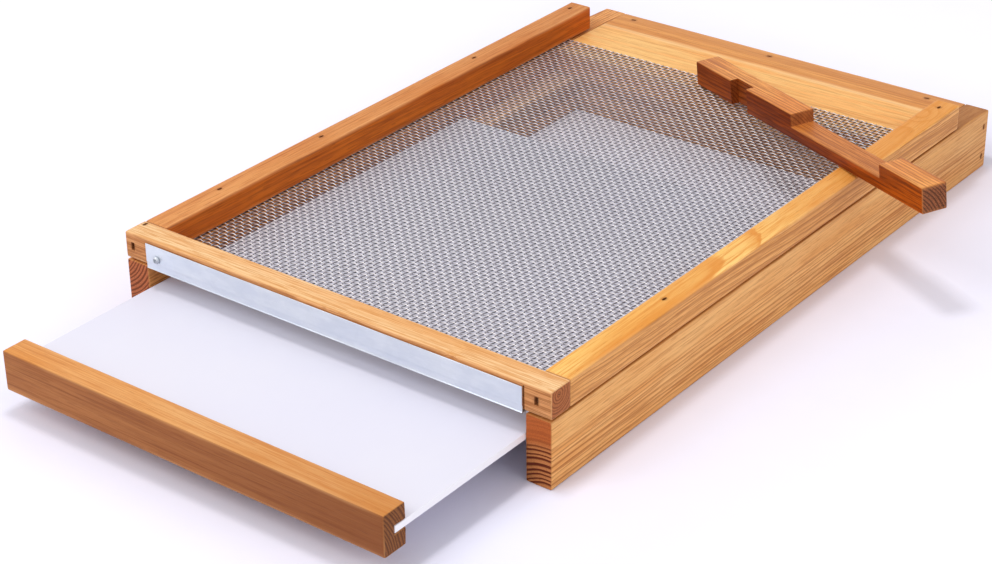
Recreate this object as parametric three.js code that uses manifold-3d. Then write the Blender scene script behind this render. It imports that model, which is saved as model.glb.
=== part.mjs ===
// Screened bottom board of an eight-frame beehive.
// Two rails carry a landing board, a wire screen clamped under three battens,
// a catch tray that slides out at the back and a loose entrance reducer.
// Millimetres. +X to the right, +Y towards the bees' entrance, +Z up.

import * as THREE from 'three';
import { mergeVertices } from 'three/addons/utils/BufferGeometryUtils.js';
import Module from 'manifold-3d';

// Hive and timber
const hiveWidth = 350;
const hiveLength = 504.5;
const boardLength = 555;
const stock = 19;
const railHeight = 47.6;
const easing = 0.8;

// Air between pieces that touch, and how far a cutter runs past a face
const fitGap = 0.3;
const overrun = 2;

// Wire screen: a net of crossing strands
const strandWidth = 2.4;
const screenThickness = 0.8;
const screenColumns = 14;
const screenRows = 21;
const screenSideMargin = 12.5;
const screenBackMargin = 10;
const screenLap = 20;

// Landing board and the timber under it
const landingDepth = 98;
const landingBevel = 31;
const landingDrop = 1.5;

// Runners that carry the tray
const runnerWidth = 21;
const runnerSetback = 30;

// Folded metal strip under and behind the back batten
const clampGauge = 0.9;
const clampUpright = 19;
const clampFlange = 12;
const clampDrop = 1.2;
const clampLeftGap = 0.5;
const clampRightGap = 2;
const clampScrewInset = 10;
const screwShankRadius = 1.3;
const screwHeadRadius = 2.9;
const screwHeadHeight = 1.9;
const screwLength = 13;

// Catch tray, shown pulled out
const trayPull = 122;
const trayShutGap = 1;
const traySideGap = 3.1;
const sheetBackInset = 1;
const sheetThickness = 5;
const handleHeight = 28.6;
const handleHeadroom = 1.2;
const kerfDepth = 9.6;

// Entrance reducer, lying askew across the right batten
const reducerPlay = 1;
const reducerYaw = THREE.MathUtils.degToRad(-28.6);
const reducerLowX = 151;
const reducerLowInset = 94;
const smallEntranceStart = 53.8;
const smallEntranceLength = 24;
const smallEntranceDepth = 6.5;
const largeEntranceStart = 142.3;
const largeEntranceLength = 116;
const largeEntranceDepth = 9.6;

// Flat-headed brads: long ones join the frame, short ones hold the runners
const longBrad = 38;
const shortBrad = 30;
const bradWire = 1.6;
const bradHeadWidth = 4.4;
const bradHeadThickness = 1.2;
const bradPoint = 3;
const bradSet = 2;

// Where the brads stand: insets from the outside edges, and shares of the length or height they run along
const leftBattenBradInset = 7.2;
const rightBattenBradInset = 10.5;
const leftBattenBradShares = [0.165, 0.374, 0.727, 0.976];
const rightBattenBradShares = [0.264, 0.727, 0.976];
const backBradLeftInset = 6.5;
const backBradRightInset = 11;
const topBradInset = 3.9;
const topBradPlace = 15.2;
const landingBradShares = [0.096, 0.467, 0.865];
const cleatBradShare = 0.52;
const frontBradInset = 6.2;
const frontBradShares = [0.723, 0.216];
const runnerBradShares = [0.1, 0.5, 0.9];

// Heights and faces worked out from the sizes above
const innerHalf = hiveWidth / 2 - stock;
const battenBase = railHeight + fitGap + screenThickness + fitGap;
const battenTop = battenBase + stock;
const screenBase = railHeight + fitGap;
const screenTop = screenBase + screenThickness;
const underHeight = railHeight - stock - fitGap;
const innerFit = 2 * (innerHalf - fitGap);
const landingBack = boardLength - landingDepth;
const sheetWidth = 2 * innerHalf - traySideGap - fitGap;
const sheetMiddle = innerHalf - fitGap - sheetWidth / 2;
const sheetBase = underHeight + fitGap;
const sheetLength = landingBack - trayShutGap - sheetBackInset;
const sheetBack = sheetBackInset - trayPull;
const handleTop = railHeight - clampDrop - handleHeadroom;

const xAxis = new THREE.Vector3(1, 0, 0);
const yAxis = new THREE.Vector3(0, 1, 0);
const zAxis = new THREE.Vector3(0, 0, 1);

const finishes = {
  rail: { color: 0xcf9558, roughness: 0.62, metalness: 0 },
  batten: { color: 0xe2a15c, roughness: 0.55, metalness: 0 },
  landing: { color: 0xe9b06c, roughness: 0.5, metalness: 0 },
  hidden: { color: 0xb9834f, roughness: 0.7, metalness: 0 },
  reducer: { color: 0xbf6f38, roughness: 0.55, metalness: 0 },
  wire: { color: 0xb4b2b8, roughness: 0.4, metalness: 0.8 },
  zinc: { color: 0xcbd5e0, roughness: 0.35, metalness: 0.7 },
  sheet: { color: 0xeeebf6, roughness: 0.4, metalness: 0 },
  brad: { color: 0x5c4a3b, roughness: 0.5, metalness: 0.7 },
};

const wasm = await Module();
wasm.setup();

// Joins and cuts work on welded, closed meshes
function toSolid(geometry) {
  const bare = geometry.clone();
  bare.deleteAttribute('normal');
  bare.deleteAttribute('uv');
  const welded = mergeVertices(bare);
  const vertProperties = Float32Array.from(welded.attributes.position.array);
  const triVerts = Uint32Array.from(welded.index.array);
  return new wasm.Manifold(new wasm.Mesh({ numProp: 3, vertProperties, triVerts }));
}

function toGeometry(solid) {
  const { vertProperties, triVerts } = solid.getMesh();
  const welded = new THREE.BufferGeometry();
  welded.setAttribute('position', new THREE.BufferAttribute(vertProperties, 3));
  welded.setIndex(new THREE.BufferAttribute(triVerts, 1));
  const geometry = welded.toNonIndexed();
  geometry.computeVertexNormals();
  return geometry;
}

function cut(geometry, cutters) {
  let solid = toSolid(geometry);
  for (const cutter of cutters) solid = solid.subtract(toSolid(cutter));
  return toGeometry(solid);
}

// A prism of an outline drawn upright: across in y for a piece along x, across in x for one along y
function prism(outline, length, along) {
  const geometry = new THREE.ExtrudeGeometry(outline, {
    depth: length,
    bevelEnabled: false,
    curveSegments: 2,
  });
  geometry.translate(0, 0, -length / 2);
  const across = along === 'x' ? yAxis : xAxis;
  const run = along === 'x' ? xAxis : yAxis.clone().negate();
  return geometry.applyMatrix4(new THREE.Matrix4().makeBasis(across, zAxis, run));
}

// Section of planed timber with its long edges eased
function timberSection(width, height) {
  const x = width / 2 - easing;
  const y = height / 2 - easing;
  const section = new THREE.Shape();
  section.absarc(x, y, easing, 0, Math.PI / 2);
  section.absarc(-x, y, easing, Math.PI / 2, Math.PI);
  section.absarc(-x, -y, easing, Math.PI, 1.5 * Math.PI);
  section.absarc(x, -y, easing, 1.5 * Math.PI, 2 * Math.PI);
  return section;
}

function timber(width, height, length, along) {
  return prism(timberSection(width, height), length, along);
}

const board = new THREE.Group();
const frame = new THREE.Group();
const tray = new THREE.Group();
board.add(frame, tray);

function addMesh(group, name, geometry, finish, x, y, z) {
  const mesh = new THREE.Mesh(geometry, new THREE.MeshStandardMaterial(finishes[finish]));
  mesh.name = name;
  mesh.position.set(x, y, z);
  group.add(mesh);
  return mesh;
}

// Rails, side battens and runners come in mirrored pairs
for (const [side, hand] of [['left', -1], ['right', 1]]) {
  const edge = hand * (hiveWidth - stock) / 2;
  addMesh(frame, `${side}_rail`, timber(stock, railHeight, boardLength, 'y'), 'rail',
    edge, boardLength / 2, railHeight / 2);

  const battenStart = stock + fitGap;
  addMesh(frame, `${side}_batten`, timber(stock, stock, hiveLength - battenStart, 'y'), 'batten',
    edge, (battenStart + hiveLength) / 2, battenBase + stock / 2);

  const runnerEnd = landingBack - fitGap;
  addMesh(frame, `${side}_runner`,
    timber(runnerWidth, underHeight, runnerEnd - runnerSetback, 'y'), 'hidden',
    hand * (innerHalf - fitGap - runnerWidth / 2), (runnerSetback + runnerEnd) / 2, underHeight / 2);
}

addMesh(frame, 'back_batten', timber(stock, stock, hiveWidth, 'x'), 'batten',
  0, stock / 2, battenBase + stock / 2);

// Landing board: level from the screen to a crest, then falling to its front edge to shed rain
const landingOutline = new THREE.Shape([
  new THREE.Vector2(0, 0),
  new THREE.Vector2(landingDepth, 0),
  new THREE.Vector2(landingDepth, stock - landingDrop),
  new THREE.Vector2(landingDepth - landingBevel, stock),
  new THREE.Vector2(0, stock),
]);
addMesh(frame, 'landing_board', prism(landingOutline, innerFit, 'x'), 'landing',
  0, landingBack, railHeight - stock);

addMesh(frame, 'front_crosspiece', timber(stock, underHeight, innerFit, 'x'), 'hidden',
  0, boardLength - stock / 2, underHeight / 2);

addMesh(frame, 'landing_cleat', timber(stock, underHeight, innerFit, 'x'), 'hidden',
  0, landingBack + stock / 2, underHeight / 2);

// Wire screen: a grid of cells, open where both its column and its row lie between strands
const screenWidth = hiveWidth - 2 * screenSideMargin;
const screenFront = landingBack + screenLap;
const screenLength = screenFront - screenBackMargin;

function strandEdges(gaps, span) {
  const pitch = (span - strandWidth) / gaps;
  const edges = [];
  for (let index = 0; index <= gaps; index += 1) {
    edges.push(index * pitch - span / 2, index * pitch + strandWidth - span / 2);
  }
  return edges;
}

const columnEdges = strandEdges(screenColumns, screenWidth);
const rowEdges = strandEdges(screenRows, screenLength);
const isStrand = (column, row) => column >= 0 && row >= 0
  && column < columnEdges.length - 1 && row < rowEdges.length - 1
  && (column % 2 === 0 || row % 2 === 0);

const netCorners = [];
function addQuad(a, b, c, d) {
  netCorners.push(...a, ...b, ...c, ...a, ...c, ...d);
}

for (let column = 0; column < columnEdges.length - 1; column += 1) {
  for (let row = 0; row < rowEdges.length - 1; row += 1) {
    if (!isStrand(column, row)) continue;
    const [left, right] = columnEdges.slice(column, column + 2);
    const [back, front] = rowEdges.slice(row, row + 2);
    const [low, high] = [-screenThickness / 2, screenThickness / 2];
    addQuad([left, back, high], [right, back, high], [right, front, high], [left, front, high]);
    addQuad([left, back, low], [left, front, low], [right, front, low], [right, back, low]);
    if (!isStrand(column - 1, row)) {
      addQuad([left, back, low], [left, back, high], [left, front, high], [left, front, low]);
    }
    if (!isStrand(column + 1, row)) {
      addQuad([right, back, low], [right, front, low], [right, front, high], [right, back, high]);
    }
    if (!isStrand(column, row - 1)) {
      addQuad([left, back, low], [right, back, low], [right, back, high], [left, back, high]);
    }
    if (!isStrand(column, row + 1)) {
      addQuad([left, front, low], [left, front, high], [right, front, high], [right, front, low]);
    }
  }
}
const net = new THREE.BufferGeometry();
net.setAttribute('position', new THREE.Float32BufferAttribute(netCorners, 3));
net.computeVertexNormals();
addMesh(frame, 'wire_screen', net, 'wire',
  0, (screenBackMargin + screenFront) / 2, screenBase + screenThickness / 2);

// Clamp strip: an angle whose flange holds the screen's back edge up to the batten
const clampOutline = new THREE.Shape([
  new THREE.Vector2(0, 0),
  new THREE.Vector2(clampFlange, 0),
  new THREE.Vector2(clampFlange, clampGauge),
  new THREE.Vector2(clampGauge, clampGauge),
  new THREE.Vector2(clampGauge, clampUpright),
  new THREE.Vector2(0, clampUpright),
]);
const clampBack = -fitGap - clampGauge;
const clampBase = railHeight - clampDrop;
const clampLength = 2 * innerHalf - clampLeftGap - clampRightGap;
const clampMiddle = (clampLeftGap - clampRightGap) / 2;
const clampScrewX = clampMiddle + clampScrewInset - clampLength / 2;
const clampScrewZ = clampBase + clampUpright / 2;
addMesh(frame, 'clamp_strip', prism(clampOutline, clampLength, 'x'), 'zinc',
  clampMiddle, clampBack, clampBase);

// Round-headed screw along +Y; its profile runs from the domed head to the point
const dome = new THREE.EllipseCurve(0, 0, screwHeadRadius, screwHeadHeight, Math.PI / 2, 0, true);
const screwProfile = [
  ...dome.getPoints(3),
  new THREE.Vector2(screwShankRadius, 0),
  new THREE.Vector2(screwShankRadius, screwShankRadius - screwLength),
  new THREE.Vector2(0, -screwLength),
];
const screwGeometry = new THREE.LatheGeometry(screwProfile.reverse(), 12);
const screw = addMesh(frame, 'clamp_screw', screwGeometry, 'zinc',
  clampScrewX, clampBack - fitGap, clampScrewZ);
screw.rotation.x = Math.PI;

const screwBoreRadius = screwShankRadius + fitGap;
const screwBoreLength = 2 * (screwLength + fitGap);
const screwBore = new THREE.CylinderGeometry(screwBoreRadius, screwBoreRadius, screwBoreLength, 12);
screwBore.translate(clampScrewX, clampBack - fitGap, clampScrewZ);

// Tray: a white sheet let into a kerf along the handle
addMesh(tray, 'tray_sheet', new THREE.BoxGeometry(sheetWidth, sheetLength, sheetThickness), 'sheet',
  sheetMiddle, sheetBack + sheetLength / 2, sheetBase + sheetThickness / 2);

const kerf = new THREE.BoxGeometry(sheetWidth + overrun, kerfDepth + overrun,
  sheetThickness + 2 * fitGap);
const handleY = sheetBack - fitGap + kerfDepth - stock / 2;
const handleZ = handleTop - handleHeight / 2;
kerf.translate(0, (stock + overrun - kerfDepth) / 2, sheetBase + sheetThickness / 2 - handleZ);
addMesh(tray, 'tray_handle', cut(timber(stock, handleHeight, sheetWidth, 'x'), [kerf]), 'rail',
  sheetMiddle, handleY, handleZ);

// Reducer: one corner rests on the screen and its underside on the right batten's inner edge
const reducerRest = new THREE.Group();
const reducerLowOffset = reducerLowX - hiveWidth / 2;
reducerRest.position.set(reducerLowOffset, boardLength - reducerLowInset, screenTop + fitGap);
reducerRest.rotation.y = -Math.atan2(battenTop - screenTop, innerHalf - reducerLowOffset);
board.add(reducerRest);

const smallEntrance = new THREE.BoxGeometry(smallEntranceLength, smallEntranceDepth + overrun,
  stock + overrun);
smallEntrance.translate(smallEntranceStart + smallEntranceLength / 2,
  (smallEntranceDepth - overrun) / 2, stock / 2);
const largeEntrance = new THREE.BoxGeometry(largeEntranceLength, stock + overrun,
  largeEntranceDepth + overrun);
largeEntrance.translate(largeEntranceStart + largeEntranceLength / 2, stock / 2,
  stock + (overrun - largeEntranceDepth) / 2);
const reducerLength = 2 * innerHalf - reducerPlay;
const reducerStick = timber(stock, stock, reducerLength, 'x');
reducerStick.translate(reducerLength / 2, stock / 2, stock / 2);
const reducer = addMesh(reducerRest, 'entrance_reducer',
  cut(reducerStick, [smallEntrance, largeEntrance]), 'reducer', 0, 0, 0);
reducer.rotation.z = reducerYaw;

// Brad outline with its mouth at the origin, driven down -Z; the bore around it is grown by a clearance
function bradOutline(length, top, clearance) {
  const head = bradHeadWidth / 2 + clearance;
  const wire = bradWire / 2 + clearance;
  const shoulder = -bradSet - bradHeadThickness - clearance;
  const tip = -bradSet - length - clearance;
  return new THREE.Shape([
    new THREE.Vector2(-head, top),
    new THREE.Vector2(-head, shoulder),
    new THREE.Vector2(-wire, shoulder),
    new THREE.Vector2(-wire, tip + bradPoint),
    new THREE.Vector2(0, tip),
    new THREE.Vector2(wire, tip + bradPoint),
    new THREE.Vector2(wire, shoulder),
    new THREE.Vector2(head, shoulder),
    new THREE.Vector2(head, top),
  ]);
}

// Bores wait here by the name of the piece they go through
const bores = { back_batten: [screwBore], clamp_strip: [screwBore] };

function driveBrad(name, mouth, inward, headRun, length, through) {
  const up = inward.clone().negate();
  const pose = new THREE.Matrix4().makeBasis(headRun, up.clone().cross(headRun), up);
  const geometry = prism(bradOutline(length, -bradSet, 0), bradWire, 'y');
  const brad = addMesh(frame, name, geometry, 'brad', ...mouth);
  brad.quaternion.setFromRotationMatrix(pose);
  pose.setPosition(...mouth);
  const bore = prism(bradOutline(length, overrun, fitGap), bradWire + 2 * fitGap, 'y');
  bore.applyMatrix4(pose);
  for (const piece of through) (bores[piece] ??= []).push(bore);
}

const down = zAxis.clone().negate();
const sideBrads = [
  ['left', -1, leftBattenBradInset, leftBattenBradShares],
  ['right', 1, rightBattenBradInset, rightBattenBradShares],
];
for (const [side, hand, inset, shares] of sideBrads) {
  const outward = xAxis.clone().multiplyScalar(hand);
  const inward = outward.clone().negate();

  shares.forEach((share, index) => {
    driveBrad(`${side}_batten_brad_${index + 1}`,
      [hand * (hiveWidth / 2 - inset), share * hiveLength, battenTop],
      down, yAxis, longBrad, [`${side}_batten`, `${side}_rail`]);
  });

  ['landing_board', 'front_crosspiece'].forEach((piece, index) => {
    driveBrad(`${side}_rail_brad_${index + 1}`,
      [hand * hiveWidth / 2, boardLength - frontBradInset, frontBradShares[index] * railHeight],
      inward, zAxis, longBrad, [`${side}_rail`, piece]);
  });

  runnerBradShares.forEach((share, index) => {
    const place = runnerSetback + share * (landingBack - fitGap - runnerSetback);
    driveBrad(`${side}_runner_brad_${index + 1}`,
      [hand * (innerHalf - fitGap - runnerWidth), place, underHeight / 2],
      outward, yAxis, shortBrad, [`${side}_runner`, `${side}_rail`]);
  });

  driveBrad(`${side}_cleat_brad`,
    [hand * cleatBradShare * innerHalf, landingBack + stock / 2, railHeight],
    down, xAxis, longBrad, ['landing_board', 'landing_cleat']);
}

driveBrad('left_back_brad', [backBradLeftInset - hiveWidth / 2, 0, battenBase + stock / 2],
  yAxis, zAxis, longBrad, ['back_batten', 'left_batten']);
driveBrad('right_back_brad', [hiveWidth / 2 - backBradRightInset, 0, battenBase + stock / 2],
  yAxis, zAxis, longBrad, ['back_batten', 'right_batten']);
driveBrad('top_back_brad', [topBradInset - hiveWidth / 2, topBradPlace, battenTop],
  down, yAxis, longBrad, ['back_batten', 'left_rail']);

landingBradShares.forEach((share, index) => {
  driveBrad(`landing_brad_${index + 1}`,
    [(share - 1 / 2) * hiveWidth, boardLength - stock / 2, railHeight],
    down, xAxis, longBrad, ['landing_board', 'front_crosspiece']);
});

for (const mesh of frame.children) {
  if (!bores[mesh.name]) continue;
  const { x, y, z } = mesh.position;
  const cutters = bores[mesh.name].map((bore) => bore.clone().translate(-x, -y, -z));
  mesh.geometry = cut(mesh.geometry, cutters);
}

// Origin on the ground, under the middle of the whole outline
const outline = new THREE.Box3().setFromObject(board, true);
const middle = outline.getCenter(new THREE.Vector3());
board.position.set(-middle.x, -middle.y, -outline.min.z);

export default board;
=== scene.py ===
import math

import bmesh
import bpy
import numpy as np
from mathutils import Matrix, Vector


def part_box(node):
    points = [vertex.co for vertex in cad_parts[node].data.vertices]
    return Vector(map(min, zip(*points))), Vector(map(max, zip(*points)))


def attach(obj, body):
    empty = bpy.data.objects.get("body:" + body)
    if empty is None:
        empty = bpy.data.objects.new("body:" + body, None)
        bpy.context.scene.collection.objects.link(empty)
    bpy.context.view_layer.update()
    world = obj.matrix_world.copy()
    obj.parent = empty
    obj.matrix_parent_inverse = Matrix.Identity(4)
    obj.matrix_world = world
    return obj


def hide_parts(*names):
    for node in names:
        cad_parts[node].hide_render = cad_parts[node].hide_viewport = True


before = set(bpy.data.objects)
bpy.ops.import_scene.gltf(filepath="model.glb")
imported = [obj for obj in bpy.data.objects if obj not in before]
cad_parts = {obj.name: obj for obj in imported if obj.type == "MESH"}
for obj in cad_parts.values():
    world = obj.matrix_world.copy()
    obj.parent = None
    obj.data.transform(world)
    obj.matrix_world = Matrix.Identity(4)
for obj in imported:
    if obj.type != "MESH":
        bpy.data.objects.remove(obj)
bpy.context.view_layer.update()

# Screened bottom board, seen from behind and to its right with the tray pulled out.
# Metres in the scene; the sizes in the dictionaries are millimetres in the same frame as the solids.
mm = 0.001
quarter = math.pi / 2
scene = bpy.context.scene
scene.view_settings.view_transform = "Standard"


# Camera

cameraSetup = {
    "eye": (822.290, -1149.815, 770.714),
    "right": (0.793817, 0.608043, -0.011741),
    "down": (0.281108, -0.383977, -0.879511),
    "forward": (-0.539289, 0.694870, -0.475733),
    "sensor": 36, "lens": 84.77, "nearest": 50, "farthest": 50000,
}

camera = bpy.data.objects.new("studioCamera", bpy.data.cameras.new("studioCamera"))
scene.collection.objects.link(camera)
up, back = ([-v for v in cameraSetup[key]] for key in ("down", "forward"))
turn = Matrix((cameraSetup["right"], up, back)).transposed()
camera.matrix_world = Matrix.Translation(Vector(cameraSetup["eye"]) * mm) @ turn.to_4x4()
camera.data.sensor_fit = "HORIZONTAL"
camera.data.sensor_width = cameraSetup["sensor"]
camera.data.lens = cameraSetup["lens"]
camera.data.clip_start = cameraSetup["nearest"] * mm
camera.data.clip_end = cameraSetup["farthest"] * mm
scene.camera = camera
print("camera set")


# Colours and node wiring

def hue(code):
    # a hex colour as it looks on screen, turned into the light values that shaders want
    parts = np.array([int(code[i:i + 2], 16) for i in (0, 2, 4)]) / 255
    linear = np.where(parts <= 0.04045, parts / 12.92, ((parts + 0.055) / 1.055) ** 2.4)
    return (*linear.tolist(), 1.0)


class Bench:
    # lays out the nodes of a new material, by its name, or of the world
    def __init__(self, holder):
        self.holder = bpy.data.materials.new(holder) if isinstance(holder, str) else holder
        self.holder.use_nodes = True
        self.tree = self.holder.node_tree
        self.tree.nodes.clear()

    def add(self, kind, inputs=None, **settings):
        # an input is another node's socket, a value or a hex colour
        node = self.tree.nodes.new("ShaderNode" + kind)
        for key, value in settings.items():
            setattr(node, key, value)
        for key, value in (inputs or {}).items():
            if isinstance(value, bpy.types.NodeSocket):
                self.tree.links.new(value, node.inputs[key])
            else:
                node.inputs[key].default_value = hue(value) if isinstance(value, str) else value
        return node

    def math(self, operation, a, b=0.0, clamp=False):
        return self.add("Math", {0: a, 1: b}, operation=operation, use_clamp=clamp).outputs[0]

    def times(self, a, b):
        return self.math("MULTIPLY", a, b)

    def plus(self, a, b, clamp=False):
        return self.math("ADD", a, b, clamp)

    def minus(self, a, b):
        return self.math("SUBTRACT", a, b)

    def falloff(self, reach):
        # exp(-reach squared)
        return self.math("EXPONENT", self.times(self.times(reach, reach), -1.0))

    def vector(self, operation, a, b):
        return self.add("VectorMath", {0: a, 1: b}, operation=operation).outputs["Vector"]

    def length(self, a):
        return self.add("VectorMath", {0: a}, operation="LENGTH").outputs["Value"]

    def part(self, place, axis):
        return self.add("SeparateXYZ", {"Vector": place}).outputs[axis]

    def stretch(self, place, scale):
        return self.add("Mapping", {"Vector": place, "Scale": scale}).outputs["Vector"]

    def metres(self):
        # where a point lies in the shared frame
        return self.add("TexCoord").outputs["Object"]

    def millimetres(self, finer=1.0):
        return self.stretch(self.metres(), (finer / mm,) * 3)

    def finishShares(self):
        # side tone, arris and end grain, which each corner of a face carries
        finish = self.add("Attribute", attribute_name="finish").outputs["Color"]
        return self.add("SeparateColor", {"Color": finish}).outputs

    def noise(self, place, scale, detail, roughness=0.5, output="Fac"):
        # the scale is one number, or one for each axis
        if isinstance(scale, tuple):
            place, scale = self.stretch(place, scale), 1.0
        inputs = {"Vector": place, "Scale": scale, "Detail": detail, "Roughness": roughness}
        return self.add("TexNoise", inputs).outputs[output]

    def fade(self, value, low, high, start=0.0, end=1.0):
        span = {"Value": value, "From Min": low, "From Max": high, "To Min": start, "To Max": end}
        return self.add("MapRange", span, interpolation_type="SMOOTHSTEP").outputs["Result"]

    def mix(self, share, under, over):
        return self.add("Mix", {0: share, 6: under, 7: over}, data_type="RGBA").outputs[2]

    def surface(self, colour, rough, height, look):
        # the look's bump is the strength of the small relief and its depth in millimetres
        strength, depth = look["bump"]
        bump = self.add("Bump", {"Height": height, "Strength": strength, "Distance": depth * mm})
        inputs = {"Base Color": colour, "Roughness": rough, "Normal": bump.outputs["Normal"], **look["shine"]}
        self.add("OutputMaterial", {"Surface": self.add("BsdfPrincipled", inputs).outputs["BSDF"]})
        return self.holder


# Timber finish: growth rings round a pith line, cut by whatever face the board shows

# each noise: its scale per millimetre along the log and across it, detail and roughness
woodNoises = {
    "sway": (0.004, 0.006, 2.0, 0.5), "ripple": (0.03, 0.11, 2.0, 0.5), "plain": (0.005, 0.07, 2.0, 0.5),
    "band": (0.0035, 0.16, 3.0, 0.55), "patch": (0.011, 0.035, 2.0, 0.5), "fleck": (0.09, 2.6, 2.0, 0.5),
    "fibre": (0.03, 1.1, 4.0, 0.6), "dash": (0.055, 0.75, 1.0, 0.5), "line": (0.009, 0.5, 3.0, 0.6),
    "pore": (1.5, 1.5, 2.0, 0.6),
}
# each fade: the values where it starts and ends, and its shares there unless the board says them
woodFades = {
    "plain": (0.3, 0.62), "endLate": (0.03, 0.4), "band": (0.34, 0.66), "patch": (0.35, 0.72, 0.0, 0.5),
    "sidePatch": (0.42, 0.66, 0.0, 0.75), "tint": (0.0, 1.0, 0.35, 1.0), "fleck": (0.62, 0.78, 0.0, 0.4),
    "fibre": (0.5, 0.6), "dash": (0.62, 0.68), "line": (0.55, 0.62), "pore": (0.5, 0.64),
    "pith": (0.5, 0.75, 0.9, 0.0), "worn": (0.3, 0.6, 0.0, 0.22),
}
# the tone of a year from spring to winter, and how uneven the years are
woodRings = {"stops": ((0.45, 0.05), (0.76, 0.5), (0.86, 1.0), (0.95, 0.95)), "last": (0.02, 0.02, 0.02, 1),
             "unevenScale": 0.13, "uneven": 1.6, "linesLeft": 0.35, "pithColour": "2a140a"}
woodSkin = {"fibreRough": 0.22, "endRough": 0.2, "fibreHeight": 0.7, "lateHeight": 0.35, "poreHeight": 0.9,
            "fleckHeight": 0.35, "bump": (0.55, 0.16), "shine": {"Specular IOR Level": 0.18}}
# iron has darkened the wood round a brad
bradStain = {"inner": 1.2, "outer": 4.2, "share": 0.6, "ragged": 2.0, "colour": "6e3c1c"}
# how far the edge of a band of painted light wanders
paintedBandWave = 2.4
# unless the board says otherwise
woodDefaults = {"knots": (), "paintedBands": (), "endDepth": 0.7, "pore": 0.45, "fibre": 0.6, "dash": 0.4,
                "line": 0.65}


def woodNoise(bench, log, kind, output="Fac"):
    along, across, detail, roughness = woodNoises[kind]
    return bench.noise(log, (along, across, across), detail, roughness, output)


def ringRadius(bench, log, grain):
    # how far a point is from the pith line, which sways and ripples across the log
    bent = log
    for kind in ("sway", "ripple"):
        push = bench.vector("SUBTRACT", woodNoise(bench, log, kind, "Color"), (0.5, 0.5, 0.5))
        bent = bench.vector("ADD", bent, bench.vector("MULTIPLY", push, (0.0, grain[kind], grain[kind])))
    radius = bench.length(bench.vector("MULTIPLY", bent, (0.0, 1.0, 1.0)))
    for knot in grain["knots"]:
        # the rings bulge by lift * exp(-distance squared), with the distance shrunk along the grain
        near = bench.add("Mapping", {"Vector": log, "Location": knot["at"], "Scale": knot["size"]},
                         vector_type="TEXTURE").outputs["Vector"]
        radius = bench.plus(radius, bench.times(bench.falloff(bench.length(near)), knot["lift"]))
    return radius


def ringTones(bench, log, radius, grain):
    # the late wood on the faces and on the end grain, and how much of the rings is left
    waves = {"W": bench.times(radius, woodRings["unevenScale"]), "Scale": 1.0, "Detail": 1.0}
    uneven = bench.add("TexNoise", waves, noise_dimensions="1D").outputs["Fac"]
    count = bench.plus(bench.math("DIVIDE", radius, grain["ring"]), bench.times(uneven, woodRings["uneven"]))
    ramp = bench.add("ValToRGB", {"Fac": bench.math("FRACT", count)})
    stops = ramp.color_ramp.elements
    stops[0].color = (0, 0, 0, 1)
    stops[1].color = woodRings["last"]
    for place, value in woodRings["stops"]:
        stops.new(place).color = (value, value, value, 1)
    tone = ramp.outputs["Color"]
    strength = bench.fade(woodNoise(bench, log, "plain"), *woodFades["plain"], grain["faint"], 1.0)
    ringed = 1.0
    if "fade" in grain:
        start, stop, left = grain["fade"]
        ringed = bench.fade(radius, start, stop, 1.0, left)
        strength = bench.times(strength, ringed)
    return bench.times(tone, strength), bench.times(bench.fade(tone, *woodFades["endLate"]), ringed), ringed


def faceColour(bench, log, side, band, patch, grain):
    # bands and pale patches, darker on the sides, with a slow change of colour along some boards
    band = bench.fade(band, *woodFades["band"])
    colour = bench.mix(band, grain["early"], grain["warm"])
    colour = bench.mix(bench.fade(patch, *woodFades["patch"]), colour, grain["pale"])
    sideColour = bench.mix(band, grain["side"], grain["sideWarm"])
    if "sidePale" in grain:
        sideColour = bench.mix(bench.fade(patch, *woodFades["sidePatch"]), sideColour, grain["sidePale"])
    colour = bench.mix(side, colour, sideColour)
    for key, where in (("tint", bench.fade(side, *woodFades["tint"])), ("topTint", bench.minus(1.0, side))):
        if key in grain:
            start, stop, most, code = grain[key]
            share = bench.times(bench.fade(bench.part(log, "X"), start, stop, 0.0, most), where)
            colour = bench.mix(share, colour, code)
    return colour


def endColour(bench, radius, ringed, endLate, pore, grain):
    colour = bench.mix(ringed, grain["end"], grain.get("endPale", grain["end"]))
    colour = bench.mix(bench.times(endLate, grain["endDepth"]), colour, grain["endLate"])
    colour = bench.mix(bench.fade(pore, *woodFades["pore"], 0.0, grain["pore"]), colour, grain["endLate"])
    return bench.mix(bench.fade(radius, *woodFades["pith"]), colour, woodRings["pithColour"])


def paintedBandsAndStains(bench, colour, patch, pore, grain):
    # painted bands of highlight and shade first, then the real iron stains round the brads
    for paintedBand in grain["paintedBands"]:
        # a band of painted light along X, pale for a highlight and dark for shade: share * exp(-((y - at) /
        # width) squared), with a wavy edge
        off = bench.minus(bench.part(bench.metres(), "Y"), paintedBand["at"] * mm)
        off = bench.math("DIVIDE", off, paintedBand["width"] * mm)
        off = bench.plus(off, bench.times(bench.minus(patch, 0.5), paintedBandWave))
        colour = bench.mix(bench.times(bench.falloff(off), paintedBand["share"]), colour, paintedBand["colour"])
    for at in grain["stains"]:
        reach = bench.length(bench.vector("SUBTRACT", bench.metres(), [v * mm for v in at]))
        reach = bench.plus(reach, bench.times(bench.minus(pore, 0.5), bradStain["ragged"] * mm))
        share = bench.fade(reach, bradStain["inner"] * mm, bradStain["outer"] * mm, bradStain["share"], 0.0)
        colour = bench.mix(share, colour, bradStain["colour"])
    return colour


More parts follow.
